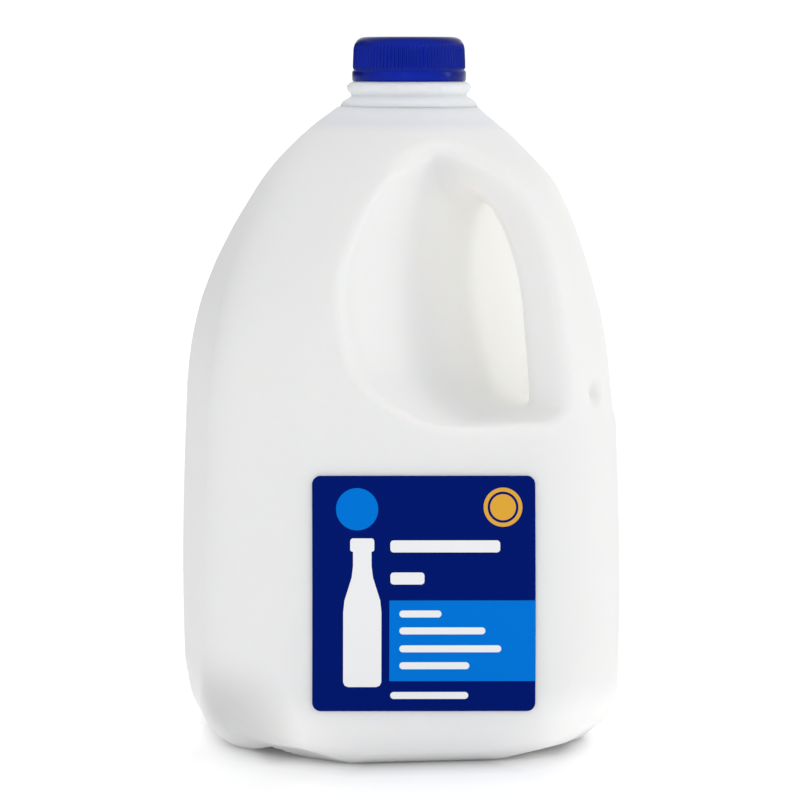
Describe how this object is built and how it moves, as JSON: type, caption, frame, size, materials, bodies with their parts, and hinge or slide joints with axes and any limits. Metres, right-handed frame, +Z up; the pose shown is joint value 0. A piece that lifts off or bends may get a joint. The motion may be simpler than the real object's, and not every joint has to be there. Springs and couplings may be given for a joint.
{
  "type": "plastic milk jug",
  "caption": "Full square milk jug of translucent plastic with a hollow corner handle, a domed shoulder, a ribbed blue screw cap and a dark blue front label",
  "frame": {"origin": "middle of the base, on the surface that the jug stands on", "axes": "+Z up through the cap, the label faces -Y, the handle stands in the corner between +X and -Y"},
  "size_m": [0.1538, 0.1546, 0.2589],
  "materials": {
    "jug_plastic": "translucent natural polyethylene, soft satin",
    "milk_liquid": "opaque white liquid",
    "cap_plastic": "dark blue moulded plastic, satin gloss",
    "label_print": "printed film, satin"
  },
  "bodies": {
    "root": {"jug": "jug_plastic", "milk": "milk_liquid", "cap": "cap_plastic", "label": "label_print"}
  },
  "joints": []
}
